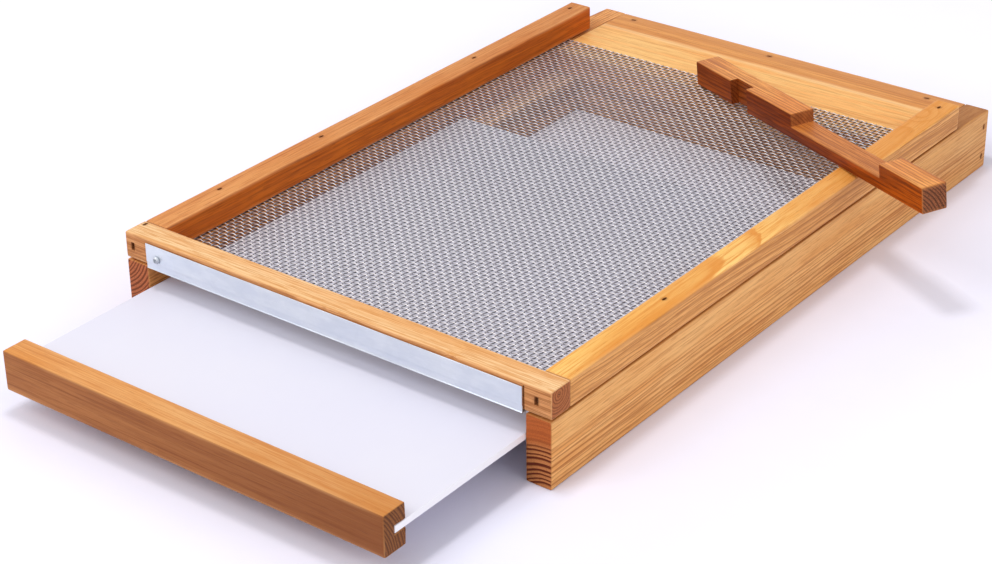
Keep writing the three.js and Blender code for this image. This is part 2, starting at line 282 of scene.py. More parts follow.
def grainMaterial(name, look):
    grain = {**woodDefaults, **look}
    bench = Bench(name)
    # millimetres, with the pith on the first axis
    lie = {"Vector": bench.metres(), "Location": [v * mm for v in grain["pith"]], "Rotation": grain["turn"],
           "Scale": (mm, mm, mm)}
    log = bench.add("Mapping", lie, vector_type="TEXTURE").outputs["Vector"]
    radius = ringRadius(bench, log, grain)
    late, endLate, ringed = ringTones(bench, log, radius, grain)
    kinds = ("band", "patch", "fleck", "pore")
    band, patch, fleck, pore = (woodNoise(bench, log, kind) for kind in kinds)
    side, arris, end = bench.finishShares()

    colour = faceColour(bench, log, side, band, patch, grain)
    lateColour = bench.mix(side, grain["late"], grain["sideLate"])
    colour = bench.mix(bench.times(late, grain["ringDepth"]), colour, lateColour)
    colour = bench.mix(end, colour, endColour(bench, radius, ringed, endLate, pore, grain))
    along = bench.minus(1.0, end)
    threads = {kind: woodNoise(bench, log, kind) for kind in ("fibre", "dash", "line")}
    for kind, thread in threads.items():
        share = bench.times(bench.fade(thread, *woodFades[kind], 0.0, grain[kind]), along)
        if kind == "line" and "fade" in grain:
            left = bench.fade(radius, *grain["fade"][:2], 1.0, woodRings["linesLeft"])
            share = bench.times(share, left)
        colour = bench.mix(share, colour, lateColour)
    colour = bench.mix(bench.fade(fleck, *woodFades["fleck"]), colour, grain["endLate"])
    colour = paintedBandsAndStains(bench, colour, patch, pore, grain)
    worn = bench.times(arris, bench.fade(patch, *woodFades["worn"]))
    colour = bench.mix(worn, colour, grain["arris"])

    rough = bench.plus(bench.times(threads["fibre"], woodSkin["fibreRough"]), grain["rough"])
    rough = bench.plus(rough, bench.times(end, woodSkin["endRough"]), clamp=True)
    height = bench.times(threads["fibre"], woodSkin["fibreHeight"])
    for value, key in ((late, "lateHeight"), (bench.times(end, pore), "poreHeight"), (fleck, "fleckHeight")):
        height = bench.plus(height, bench.times(value, woodSkin[key]))
    return bench.surface(colour, rough, height, woodSkin)


# Timber shapes: an outline with rounded corners carried along the board

shaping = {
    "arcPoints": 4, "ease": 0.8,  # rounded corners; rounding of the ends
    "guard": 1.6,  # from a rounding to the point that keeps the flat beside it flat
    "guardShare": 0.45,  # of the edge, at the most
    "drawShare": 0.7,  # of a corner's radius that the ends may be drawn in
    "gap": 22,  # between two stations along the board
    "nickSpread": np.linspace(-2, 2, 9), "crestSpread": np.linspace(-3, 3, 7),  # stations added there
    "wear": (0.06, 1.6),  # of the arrises: depth, and the level that the waves swing round
    "waves": (61.0, 23.0, 9.5), "smoothAngle": 35,
}


def lengthOf(rows):
    return np.linalg.norm(rows, axis=1, keepdims=True)


def roundedOutline(corners, radii, tones, ends=0.0, guard=shaping["guard"]):
    # every corner turns into an arc from radius / tan(half its angle) before it to the same after it, with
    # a guard point on either side; tones and ends belong to the edge that follows a corner
    steps = shaping["arcPoints"]
    corner = np.array(corners, float)
    radius = np.broadcast_to(np.array(radii, float), (len(corner),))[:, None]
    kinds = np.array([tones, np.broadcast_to(ends, (len(corner),))], float)
    before, after = np.roll(corner, 1, 0) - corner, np.roll(corner, -1, 0) - corner
    towards = before / lengthOf(before), after / lengthOf(after)
    half = np.arccos(np.clip((towards[0] * towards[1]).sum(1, keepdims=True), -1, 1)) / 2
    reach = radius / np.tan(half)
    middle = towards[0] + towards[1]
    centre = corner + middle / lengthOf(middle) * radius / np.sin(half)
    first, last = ((corner + toward * reach - centre) / radius for toward in towards)
    sweep = (math.pi - 2 * half)[:, None]
    step = np.linspace(0, 1, steps)[None, :, None]
    arc = (np.sin((1 - step) * sweep) * first[:, None] + np.sin(step * sweep) * last[:, None]) / np.sin(sweep)
    arc = centre[:, None] + radius[:, None] * arc
    guards = [(corner + toward * np.minimum(reach + guard, shaping["guardShare"] * lengthOf(edge)))[:, None]
              for toward, edge in zip(towards, (before, after))]
    points = np.concatenate([guards[0], arc, guards[1]], axis=1)
    convex = (after[:, 1] * before[:, 0] - after[:, 0] * before[:, 1])[:, None] < 0
    arris = np.zeros(points.shape[:2])
    arris[:, 1:-1] = convex
    limit = np.where(convex, shaping["drawShare"] * radius, np.inf) * np.ones(points.shape[:2])
    blend = np.concatenate([np.zeros(1), np.linspace(0, 1, steps), np.ones(1)])[None, None]
    kinds = np.roll(kinds, 1, 1)[..., None] * (1 - blend) + kinds[..., None] * blend
    return points.reshape(-1, 2), arris.ravel(), kinds.reshape(2, -1), limit.ravel()


def meshFrom(name, points, faces, finish=None, caps=None, smoothAngle=shaping["smoothAngle"]):
    # points in millimetres; finish has a row for each of them, and caps is how many of the last face corners
    # get another row, and that row
    mesh = bpy.data.meshes.new(name)
    mesh.from_pydata((np.reshape(points, (-1, 3)) * mm).tolist(), [], faces)
    work = bmesh.new()
    work.from_mesh(mesh)
    if work.calc_volume(signed=True) < 0:
        bmesh.ops.reverse_faces(work, faces=work.faces[:])
    work.to_mesh(mesh)
    work.free()
    if finish is not None:
        corner = np.zeros(len(mesh.loops), np.int32)
        mesh.loops.foreach_get("vertex_index", corner)
        values = finish[corner].astype(np.float32)
        if caps:
            values[-caps[0]:] = caps[1]
        layer = mesh.attributes.new("finish", "FLOAT_COLOR", "CORNER")
        layer.data.foreach_set("color", values.ravel())
    softenMesh(mesh, smoothAngle)
    piece = bpy.data.objects.new(name, mesh)
    scene.collection.objects.link(piece)
    return piece


def softenMesh(mesh, angle):
    # with a finish only the faces that reach an arris are smooth; elsewhere all but the end caps
    sides, starts = (np.zeros(len(mesh.polygons), np.int32) for _ in range(2))
    mesh.polygons.foreach_get("loop_total", sides)
    mesh.polygons.foreach_get("loop_start", starts)
    rounded = sides < 5
    layer = mesh.attributes.get("finish")
    if layer:
        values = np.zeros(len(mesh.loops) * 4, np.float32)
        layer.data.foreach_get("color", values)
        rounded = np.maximum.reduceat(values[1::4], starts) > 0.01
    mesh.polygons.foreach_set("use_smooth", rounded)
    mesh.set_sharp_from_angle(angle=math.radians(angle))
    mesh.update()


def gridFaces(rows, columns):
    # quads between neighbouring points of a grid whose columns close on themselves
    row, column = np.meshgrid(np.arange(rows - 1) * columns, np.arange(columns), indexing="ij")
    beside = (column + 1) % columns
    quads = np.stack([row + column, row + beside, row + columns + beside, row + columns + column], -1)
    return quads.reshape(-1, 4).tolist()


def tubeFaces(rows, columns):
    # the grid and its two end caps
    first = np.arange(columns)
    return gridFaces(rows, columns) + [first[::-1].tolist(), (first + (rows - 1) * columns).tolist()]


def carriedTimber(name, outline, start, end, axes, seed, ease=shaping["ease"], gap=shaping["gap"],
                  cap=(0.5, 1.0), nicks=(), planed=None):
    # point(s, k) = origin + p_k * first axis + q_k * second axis + s * third axis; near the ends the outline
    # is drawn in by ease * (1 - sin angle) and s by ease * (1 - cos angle); slow waves wear the arrises
    section, arris, (tone, endGrain), limit = outline
    angle = np.linspace(0, quarter, shaping["arcPoints"])
    lip, drawn = ease * (1 - np.cos(angle)), 1 - np.sin(angle)
    margin = ease + shaping["guard"]
    inner = [np.linspace(start + margin, end - margin, int((end - start) / gap))]
    for nick in nicks:
        inner.append(nick["at"] + shaping["nickSpread"] * nick["width"])
    if planed:
        inner.append(end - planed["from"] + shaping["crestSpread"])
    inner = np.unique(np.round(np.concatenate(inner), 3))
    stations = np.concatenate([start + lip, inner, (end - lip)[::-1]])
    capped = np.concatenate([drawn, np.zeros(len(inner)), drawn[::-1]])[:, None]
    inset = capped * np.minimum(ease, limit)[None]
    edges = np.roll(section, -1, 0) - np.roll(section, 1, 0)
    outward = np.stack([edges[:, 1], -edges[:, 0]], 1) / lengthOf(edges)
    depth, level = shaping["wear"]
    phase = np.random.default_rng(seed).uniform(0, 2 * math.pi, (3, len(section)))
    waves = sum(np.sin(stations[:, None] / size + phase[i][None]) for i, size in enumerate(shaping["waves"]))
    wear = arris[None] * depth * (level + waves / 2)
    for nick in nicks:
        # depth * exp(-(along / width) squared) * exp(-(off the corner / reach) squared)
        beside = np.exp(-((stations - nick["at"]) / nick["width"]) ** 2)[:, None]
        near = np.exp(-(lengthOf(section - nick["corner"]) / nick["reach"]) ** 2).T
        wear = wear + nick["depth"] * beside * near
    worked = section[None] - outward[None] * (inset + wear)[..., None]
    if planed:
        # the upper half of the outline sinks in proportion to how far s is past the crest
        sink = planed["drop"] * np.clip((stations - end + planed["from"]) / planed["from"], 0, 1)
        worked[..., 1] -= sink[:, None] * (section[:, 1] > section[:, 1].mean())[None]
    first, second, third, origin = (np.array(axis, float) for axis in axes)
    points = worked[..., :1] * first + worked[..., 1:] * second + stations[:, None, None] * third + origin
    columns = len(section)
    finish = np.ones((len(stations), columns, 4))
    finish[..., 0] = tone[None] * (1 - capped) + cap[0] * capped
    finish[..., 1] = np.maximum(arris[None], capped > 0.01)
    finish[..., 2] = endGrain[None] * (1 - capped) + cap[1] * capped
    caps = 2 * columns, (cap[0], 0.0, cap[1], 1.0)
    return meshFrom(name, points, tubeFaces(len(stations), columns), finish.reshape(-1, 4), caps)


def boxMesh(low, high):
    x, y, z = ((low[i], high[i]) for i in range(3))
    points = [(a, b, c) for a in x for b in y for c in z]
    faces = [(0, 1, 3, 2), (4, 6, 7, 5), (0, 4, 5, 1), (2, 3, 7, 6), (0, 2, 6, 4), (1, 5, 7, 3)]
    return points, faces


def ovalMesh(low, high, axis, count=16):
    # an oval rod that fills its box: middle + half size * (cos t, sin t), along the axis
    middle, half = (low + high) / 2, (high - low) / 2
    second, third = (axis + 1) % 3, (axis + 2) % 3
    t = np.linspace(0, 2 * math.pi, count, endpoint=False)
    points = np.tile(middle, (2, count, 1))
    points[..., second] += half[second] * np.cos(t)
    points[..., third] += half[third] * np.sin(t)
    points[..., axis] = np.array([[low[axis]], [high[axis]]])
    return points.reshape(-1, 3).tolist(), tubeFaces(2, count)


def cutOut(piece, boxes, axes=None, finish=(0.6, 0.0, 0.7, 1.0)):
    # takes boxes of wood out of a board, or oval rods of it where an axis comes with the box
    points, faces = [], []
    for low, high, *axis in boxes:
        corners, sides = ovalMesh(low, high, *axis) if axis else boxMesh(low, high)
        faces += [[i + len(points) for i in side] for side in sides]
        points += corners
    if axes:
        points = np.array(points) @ np.array(axes[:3]) + axes[3]
    cutter = meshFrom("cutter", points, faces, np.tile(finish, (len(points), 1)))
    cut = piece.modifiers.new("cut", "BOOLEAN")
    cut.operation, cut.solver, cut.object = "DIFFERENCE", "EXACT", cutter
    graph = bpy.context.evaluated_depsgraph_get()
    mesh = bpy.data.meshes.new_from_object(piece.evaluated_get(graph))
    piece.modifiers.clear()
    piece.data = mesh
    bpy.data.objects.remove(cutter)
    softenMesh(mesh, shaping["smoothAngle"])


def extent(node):
    low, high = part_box(node)
    return np.array(low) / mm, np.array(high) / mm


# the mouth that a sunk head leaves: wider than the head, and open beyond the face it went in at
mouth = {"depth": 3.4, "sunk": 2.0, "rim": 4.0, "room": 0.2, "backRoom": 0.75}


def bradMouth(node, facing):
    # a box in the back face, an oval rod elsewhere
    low, high = extent(node)
    axis, atBack = "xyz".index(facing[1]), facing == "-y"
    room = mouth["backRoom"] if atBack else mouth["room"]
    low, high = low - room, high + room
    if facing[0] == "+":
        low[axis], high[axis] = high[axis] - mouth["depth"] + mouth["sunk"], high[axis] + mouth["rim"]
    else:
        low[axis], high[axis] = low[axis] - mouth["rim"], low[axis] + mouth["depth"] - mouth["sunk"]
    return (low, high) if atBack else (low, high, axis)


def numbered(stem, count, facing):
    return [(f"{stem}_{i}", facing) for i in range(1, count + 1)]


def stained(look, brads):
    # the board's look with the middle of each brad's head, in the shared frame
    spots = []
    for brad, facing in brads:
        low, high = extent(brad)
        axis, middle = "xyz".index(facing[1]), (low + high) / 2
        middle[axis] = high[axis] if facing[0] == "+" else low[axis]
        spots.append(middle.tolist())
    return {**look, "stains": spots}


# the outline's two axes, the axis it is carried along and its origin, for boards along X or Y
boardAxes = {"x": ((0, 1, 0), (0, 0, 1), (1, 0, 0), (0, 0, 0)),
             "y": ((1, 0, 0), (0, 0, 1), (0, 1, 0), (0, 0, 0))}


def boardOutline(node, along, corner, tones):
    # the outline of a plain board: bottom, right, top and left edges in turn
    low, high = extent(node)
    p = 0 if along == "y" else 1
    corners = [(low[p], low[2]), (high[p], low[2]), (high[p], high[2]), (low[p], high[2])]
    return roundedOutline(corners, corner, tones)


def dress(piece, node, body, material):
    piece.data.materials.clear()  # a cut can leave an empty place for a material
    piece.data.materials.append(material)
    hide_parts(node)
    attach(piece, body)


def placeTimber(piece, node, body, look, brads=(), grooves=()):
    if brads:
        cutOut(piece, [*(bradMouth(brad, facing) for brad, facing in brads), *grooves])
    dress(piece, node, body, grainMaterial(piece.name + "Wood", stained(look, brads)))
    print("timber:", node)


def plainBoard(node, along, slot, look, brads=(), grooves=(), **shape):
    low, high = extent(node)
    run = 1 if along == "y" else 0
    outline = boardOutline(node, along, look["corner"], look["tones"])
    piece = carriedTimber(look["name"], outline, low[run], high[run], boardAxes[along], **shape)
    placeTimber(piece, node, "board", look, brads, grooves)


# Rails

# their tops are planed down together with the landing board's front edge: over the last 31 mm, 1.5 mm in all
planing = {"from": 31, "drop": 1.5}

leftRail = {
    "name": "leftRail", "corner": 0.9, "tones": [0.5, 0.2, 0.0, 0.4],
    "pith": (-236, 0, 60), "turn": (0, 0.006, quarter + 0.012), "ring": 2.4, "sway": 7,
    "ripple": 1.2, "faint": 0.3,
    "early": "f3ab63", "warm": "dc8e49", "pale": "fbbc78", "late": "9e5425", "ringDepth": 0.6,
    "side": "b06a34", "sideWarm": "96521f", "sideLate": "74391a",
    "end": "bc6a43", "endLate": "642f19", "endDepth": 0.8, "arris": "e5a76b", "rough": 0.42,
}
rightRail = {
    "name": "rightRail", "corner": 0.9, "tones": [0.5, 0.0, 0.7, 0.8],
    "pith": (133, 0, -22), "turn": (0, -0.003, quarter - 0.003), "ring": 3.2, "sway": 4,
    "ripple": 1.0, "faint": 0.7,
    "early": "efb56e", "warm": "e5a259", "pale": "f3c17e", "late": "ac652b", "ringDepth": 0.85,
    "side": "b9763e", "sideWarm": "a56430", "sideLate": "7d431d", "tint": (150, 330, 0.42, "7d431d"),
    "end": "b65724", "endPale": "c67d47", "endLate": "5d1e07", "endDepth": 0.95, "arris": "c98a52",
    "fade": (47, 57, 0.2), "pore": 0.3, "fibre": 0.35, "dash": 0.3, "rough": 0.42,
}
plainBoard("left_rail", "y", "rail", leftRail, numbered("left_rail_brad", 2, "-x"), seed=3, planed=planing)
plainBoard("right_rail", "y", "rail", rightRail, numbered("right_rail_brad", 2, "+x"), seed=4, planed=planing)


# Battens

leftBatten = {
    "name": "leftBatten", "corner": 1.1, "tones": [0.5, 1.0, 0.0, 0.5],
    "pith": (-262, 0, 30), "turn": (0, 0.010, quarter - 0.006), "ring": 2.1, "sway": 8,
    "ripple": 1.0, "faint": 0.25,
    "early": "d7904f", "warm": "cb7b3a", "pale": "dd9a5c", "late": "ac5c23", "ringDepth": 0.45,
    "side": "d16a17", "sideWarm": "b45410", "sidePale": "d56e16", "sideLate": "8d3e09",
    "end": "a05c35", "endLate": "5a2a14", "arris": "f0bb85", "line": 0.4, "fibre": 0.4, "rough": 0.38,
}
rightBatten = {
    "name": "rightBatten", "corner": 1.1, "tones": [0.5, 1.0, 0.0, 0.5],
    "pith": (121, 0, 4), "turn": (0, 0.012, quarter + 0.01), "ring": 3.4, "sway": 16,
    "ripple": 1.8, "faint": 0.65,
    "early": "f7c870", "warm": "edaa4c", "pale": "f7d98d", "late": "d98931", "ringDepth": 0.95,
    "side": "eeb066", "sideWarm": "d99850", "sideLate": "b47035", "topTint": (-60, 200, 0.75, "dc8a3e"),
    "end": "a8683e", "endLate": "63321a", "arris": "f4bd80", "rough": 0.36,
    "knots": [{"at": (262, -1, 66), "size": (20, 11, 26), "lift": 8}],
}
plainBoard("left_batten", "y", "batten", leftBatten, numbered("left_batten_brad", 4, "+z"), seed=5)
plainBoard("right_batten", "y", "batten", rightBatten, numbered("right_batten_brad", 3, "+z"), seed=6)

backBatten = {
    "name": "backBatten", "corner": 1.1, "tones": [0.5, 0.4, 0.0, 1.0],
    "brads": [("left_back_brad", "-y"), ("right_back_brad", "-y"), ("top_back_brad", "+z")],
    "groove": {"from": 0.05, "to": 1.25, "outside": 4, "depth": 3, "above": 0.6},  # at the strip's right end
    "nick": {"at": 60.0, "width": 3.4, "depth": 1.8, "reach": 2.2},  # in its upper back edge
    "pith": (0, -205.5, 64.4), "turn": (0, 0.006, 0.004), "ring": 2.1, "sway": 1.6,
    "ripple": 1.0, "faint": 0.4,
    "early": "efc692", "warm": "e5aa6d", "pale": "f3d4a7", "late": "cf8d4b", "ringDepth": 0.6,
    "side": "e5a56b", "sideWarm": "d28d52", "sideLate": "a66332",
    "end": "b16a3c", "endLate": "663016", "endDepth": 0.6, "arris": "f2bf86",
    "pore": 0.35, "fibre": 0.75, "dash": 0.7, "rough": 0.38,
}
backLow, backHigh = extent("back_batten")
stripHigh = extent("clamp_strip")[1]
groove = backBatten["groove"]
grooveBox = [[stripHigh[0] + groove["from"], backLow[1] - groove["outside"], backLow[2] - groove["outside"]],
             [stripHigh[0] + groove["to"], backLow[1] + groove["depth"], stripHigh[2] + groove["above"]]]
plainBoard("back_batten", "x", "batten", backBatten, backBatten["brads"], [grooveBox], seed=7,
           nicks=[{**backBatten["nick"], "corner": (backLow[1], backHigh[2])}])


# Landing board: level to its crest, then sloping down to the front edge

landing = {
    # the slope in front of the crest takes the darker side colours at 0.9: painted shade on the slope
    "radii": [0.9, 0.9, 1.2, 45.0, 1.2], "tones": [0.5, 1.0, 0.9, 0.0, 0.6], "guard": 3.0,
    "brads": numbered("landing_brad", 3, "+z") + [("left_cleat_brad", "+z"), ("right_cleat_brad", "+z")],
    "pith": (0, 300, -60), "turn": (0, 0.012, 0.01), "ring": 5.5, "sway": 14, "ripple": 2.0, "faint": 0.25,
    "early": "f7be73", "warm": "f7ac5c", "pale": "f7cc84", "late": "ce863d", "ringDepth": 0.6,
    "side": "e39a4d", "sideWarm": "d4873e", "sideLate": "b0662b",
    "end": "a8683e", "endLate": "63321a", "arris": "f0bb88",
    "fibre": 0.4, "dash": 0.25, "line": 0.5, "rough": 0.36,
    # a painted highlight along the crest, and painted shade down the slope in front of it
    "paintedBands": [{"at": 309, "width": 2, "colour": "f6cf9f", "share": 0.35},
                {"at": 334, "width": 7, "colour": "c8834a", "share": 0.35}],
}
low, high = extent("landing_board")
landingOutline = roundedOutline(
    [(low[1], low[2]), (high[1], low[2]), (high[1], high[2] - planing["drop"]),
     (high[1] - planing["from"], high[2]), (low[1], high[2])],
    landing["radii"], landing["tones"], guard=landing["guard"])
landingPiece = carriedTimber("landingBoard", landingOutline, low[0], high[0], boardAxes["x"], seed=8)
placeTimber(landingPiece, "landing_board", "board", landing, landing["brads"])


# Timber inside: runners, front crosspiece and the cleat under the landing board

inside = {
    "corner": 0.9, "tones": [0.4, 0.6, 0.0, 0.6],
    "turn": (0, 0.01, quarter + 0.01), "ring": 3.0, "sway": 8, "ripple": 1.4, "faint": 0.3,
    "early": "eab680", "warm": "d99e67", "pale": "eec392", "late": "ad733e", "ringDepth": 0.65,
    "side": "d09056", "sideWarm": "bb7b42", "sideLate": "7d4a22",
    "end": "9c5f38", "endLate": "5a2d17", "arris": "d2a070", "rough": 0.48,
}
for side, pith, facing, seed in (("left", (-150, 0, -31), "+x", 9), ("right", (150, 0, -30), "-x", 10)):
    brads = numbered(side + "_runner_brad", 3, facing)
    look = {**inside, "name": side + "Runner", "pith": pith}
    plainBoard(side + "_runner", "y", "inner_timber", look, brads, seed=seed)
for node, name, y, seed in (("front_crosspiece", "frontCrosspiece", 360, 11),
                            ("landing_cleat", "landingCleat", 220, 12)):
    look = {**inside, "name": name, "pith": (0, y, -32), "turn": (0, 0.01, 0.006)}
    plainBoard(node, "x", "inner_timber", look, seed=seed)


# Woven wire screen

weave = {
    "wire": 0.73, "pitch": 3.94, "crimp": 0.37,
    "flat": np.array([-0.19, 0.19]),  # round a crossing, in pitches
    "firstAlong": 1.53, "lastAcross": 0.6,  # from the net's edges to its first and last wires
    "wander": 0.06, "drifts": (57, 19), "sides": 5, "smoothAngle": 60,
}
# the wires across and the wires along are one steel, coloured as a lit and a shaded copy: lighter across,
# darker along; on both, the high colour is a painted highlight where a wire stands highest and on the slopes
# that lean to the right (wires across) or to the back (wires along), and the low colour is painted shade
wireLooks = {
    "x": {"low": "6c6770", "lowWorn": "7a767e", "high": "fffafc", "paintedTopHighlight": (-0.27, 0.2),
          "paintedSlopeHighlight": (-0.28, 0.04, 0.15, 1.0), "shine": {"Metallic": 0.4}, "drawnScale": (0.5, 9, 9)},
    "y": {"low": "2c2930", "lowWorn": "3a373e", "high": "bab4bb", "paintedTopHighlight": (0.0, 0.45),
          "paintedSlopeHighlight": (-0.22, 0.12, 0.0, 1.0), "shine": {"Metallic": 0.75}, "drawnScale": (9, 0.5, 9)},
}
wireSkin = {"dullScale": 0.02, "dull": (0.35, 0.65), "rough": (0.3, 0.7, 0.4, 0.48), "bump": (0.3, 0.04),
            "drawn": (0.5, 0.75, 0.0, 0.4), "drawnColour": "8f8a94",
            "grimeScale": 0.3, "grime": (0.6, 0.8, 0.0, 0.35), "grimeColour": "6a605f"}


def wovenWires(name, low, high, along, seed):
    # the middle line of wire k keeps to its place across and rises and falls between +crimp and -crimp,
    # flat over a crossing and straight between two; its skin is that line plus wire / 2 * (cos t, sin t)
    run, across = (0, 1) if along == "x" else (1, 0)
    pitch, radius = weave["pitch"], weave["wire"] / 2
    counts = [int((high[i] - low[i]) // pitch) for i in (0, 1)]
    firsts = [low[0] + weave["firstAlong"], high[1] - weave["lastAcross"] - (counts[1] - 1) * pitch]
    crossings = firsts[run] + pitch * np.arange(counts[run])
    flats = crossings[:, None] + pitch * weave["flat"]
    stations = np.concatenate([[low[run]], flats.ravel(), [high[run]]])
    up = np.where(np.arange(counts[run]) % 2, -1.0, 1.0)
    wave = np.concatenate([[up[0]], np.repeat(up, 2), [up[-1]]])
    wires = np.arange(counts[across])[:, None]
    sign = np.where(wires % 2, -1.0, 1.0) * (1 if along == "x" else -1)
    phase = np.random.default_rng(seed).uniform(0, 2 * math.pi, (2, len(wires), 1))
    drift = sum(np.sin(stations / size + phase[i]) for i, size in enumerate(weave["drifts"]))
    centreAcross = firsts[across] + pitch * wires + weave["wander"] * drift
    centreUp = (low[2] + high[2]) / 2 + weave["crimp"] * sign * wave[None]
    t = np.linspace(0, 2 * math.pi, weave["sides"], endpoint=False) + quarter
    points = np.zeros((len(wires), len(stations), len(t), 3))
    points[..., run] = stations[None, :, None]
    points[..., across] = centreAcross[..., None] + radius * np.cos(t)
    points[..., 2] = centreUp[..., None] + radius * np.sin(t)
    perWire, cap = len(stations) * len(t), np.arange(len(t))
    sides = np.array(gridFaces(len(stations), len(t)))[None] + (wires * perWire)[..., None]
    caps = np.concatenate([wires * perWire + cap[::-1], (wires + 1) * perWire - len(t) + cap])
    faces = sides.reshape(-1, 4).tolist() + caps.tolist()
    return meshFrom(name, points, faces, smoothAngle=weave["smoothAngle"])


def wireMaterial(name, along, middle):
    bench, look = Bench(name), {**wireSkin, **wireLooks[along]}
    place = bench.millimetres()
    dull = bench.noise(place, look["dullScale"], 3.0)
    drawn = bench.noise(place, look["drawnScale"], 2.0)
    grime = bench.noise(place, look["grimeScale"], 2.0)
    # painted highlight: lighter where the wire stands high and where its slope leans the given way; the low
    # colours are painted shade
    low, high = look["paintedTopHighlight"]
    paintedTopHighlight = bench.fade(bench.part(place, "Z"), middle + low, middle + high)
    turned = bench.add("TexCoord").outputs["Normal"]
    paintedSlopeHighlight = bench.part(turned, "X") if along == "x" else bench.times(bench.part(turned, "Y"), -1.0)
    paintedHighlightShare = bench.times(paintedTopHighlight, bench.fade(paintedSlopeHighlight, *look["paintedSlopeHighlight"]))
    colour = bench.mix(bench.fade(dull, *look["dull"]), look["low"], look["lowWorn"])
    colour = bench.mix(paintedHighlightShare, colour, look["high"])
    colour = bench.mix(bench.fade(drawn, *look["drawn"]), colour, look["drawnColour"])
    colour = bench.mix(bench.fade(grime, *look["grime"]), colour, look["grimeColour"])
    return bench.surface(colour, bench.fade(dull, *look["rough"]), drawn, look)


netLow, netHigh = extent("wire_screen")
for along, name, seed in (("x", "wiresAcross", 21), ("y", "wiresAlong", 22)):
    wires = wovenWires(name, netLow, netHigh, along, seed)
    steel = wireMaterial(name + "Steel", along, (netLow[2] + netHigh[2]) / 2)
    dress(wires, "wire_screen", "board", steel)
    print("wires laid:", name, len(wires.data.polygons))


# Folded zinc strip and its screw

zinc = {
    "bloomScale": (0.03, 0.08, 0.08), "bloom": (0.36, 0.68), "bloomColour": "e1e7ef", "bloomHeight": 0.6,
    "facetScale": (0.16, 0.22, 0.22), "facet": 0.08, "facetRough": 0.04,
    "scuffScale": (0.05, 2.2, 2.2), "scuff": (0.6, 0.8, 0.0, 0.2), "scuffHeight": 0.25,
    "rough": (0.3, 0.7, 0.34, 0.42), "bump": (0.2, 0.1), "shine": {"Metallic": 0.55}, "finer": 1.0,
}


def zincMaterial(name, own):
    bench, look = Bench(name), {**zinc, **own}
    place = bench.millimetres(look["finer"])
    bloom = bench.noise(place, look["bloomScale"], 4.0, 0.6)
    scuff = bench.noise(place, look["scuffScale"], 3.0, 0.6)
    spangle = bench.add("TexVoronoi", {"Vector": bench.stretch(place, look["facetScale"]), "Scale": 1.0})
    facet = bench.add("SeparateColor", {"Color": spangle.outputs["Color"]}).outputs[0]
    colour = bench.mix(bench.fade(bloom, *look["bloom"]), look["tint"], look["bloomColour"])
    colour = bench.mix(bench.times(facet, look["facet"]), colour, look["dark"])
    colour = bench.mix(bench.fade(scuff, *look["scuff"]), colour, look["dark"])
    rough = bench.plus(bench.fade(bloom, *look["rough"]), bench.times(facet, look["facetRough"]))
    height = bench.plus(bench.times(bloom, look["bloomHeight"]), bench.times(scuff, look["scuffHeight"]))
    return bench.surface(colour, rough, height, look)


strip = {
    "gauge": 0.9, "bend": 1.5, "bendPoints": 7, "facePoints": 26, "ease": 0.15,
    "crease": 5.5, "creaseWidth": 0.175, "creaseDepth": 0.4,
    "edge": (0.25, 0.08, 0.35),  # upper edge: in from the faces, down from the top; where the faces end
    "nose": (0.2, 0.05),  # the flange's edge: where its faces end, and in from them
    "tint": "d6dde8", "dark": "b0bac6",
}


def foldedStrip():
    # an L of even gauge: an arc for the bend, straight legs, and a faint crease pressed along the upright;
    # offset(z) = creaseDepth / (1 + exp((z - crease) / creaseWidth)) moves the face in below the crease
    low, high = extent("clamp_strip")
    gauge, outer, inner = strip["gauge"], strip["bend"], strip["bend"] - strip["gauge"]
    edgeIn, edgeDown, faceEnd = strip["edge"]
    noseBack, noseIn = strip["nose"]
    turnBy = np.linspace(0, quarter, strip["bendPoints"])
    z = np.linspace(strip["bend"], high[2] - low[2] - faceEnd, strip["facePoints"])
    offset = strip["creaseDepth"] / (1 + np.exp((z - strip["crease"]) / strip["creaseWidth"]))
    faceOut = np.stack([low[1] + offset, low[2] + z], 1)
    faceIn = np.stack([low[1] + gauge + offset, low[2] + z], 1)[::-1]
    edge = np.array([[low[1] + edgeIn, high[2] - edgeDown], [low[1] + gauge - edgeIn, high[2] - edgeDown]])
    bendIn, bendOut = (np.array(low[1:]) + outer - size * np.stack([np.cos(turnBy), np.sin(turnBy)], 1)[1:]
                       for size in (inner, outer))
    nose = np.array([[high[1] - noseBack, low[2] + gauge - noseIn], [high[1], low[2] + gauge / 2],
                     [high[1] - noseBack, low[2] + noseIn]])
    section = np.concatenate([faceOut, edge, faceIn, bendIn, nose, bendOut[::-1]])[::-1]
    none = np.zeros(len(section))
    outline = section, none + 1, (none, none), none + np.inf
    piece = carriedTimber("clampStrip", outline, low[0], high[0], boardAxes["x"], seed=13, ease=strip["ease"])
    dress(piece, "clamp_strip", "board", zincMaterial("stripZinc", strip))


screw = {
    "rings": 16, "spokes": 48, "headHeight": 1.9, "headInset": 0.25, "smoothAngle": 40,
    "crossTurn": 0.5, "slotDepth": 0.9,
    "slot": (0.42, 0.12), "slotLength": (1.5, 0.15),  # half sizes, and how wide their sloping edges are
    "depths": (0, 0, 0.4, 1, 2, 3, 4, 5, 6, 7, 8, 9, 10, 11, 12.2),
    "widths": (1.35, 1.3, 1.45, 1.2, 1.45, 1.2, 1.45, 1.2, 1.4, 1.15, 1.35, 1.0, 1.05, 0.5, 0.05),
    "tint": "b9bec6", "dark": "7d828c", "finer": 4.0,
}


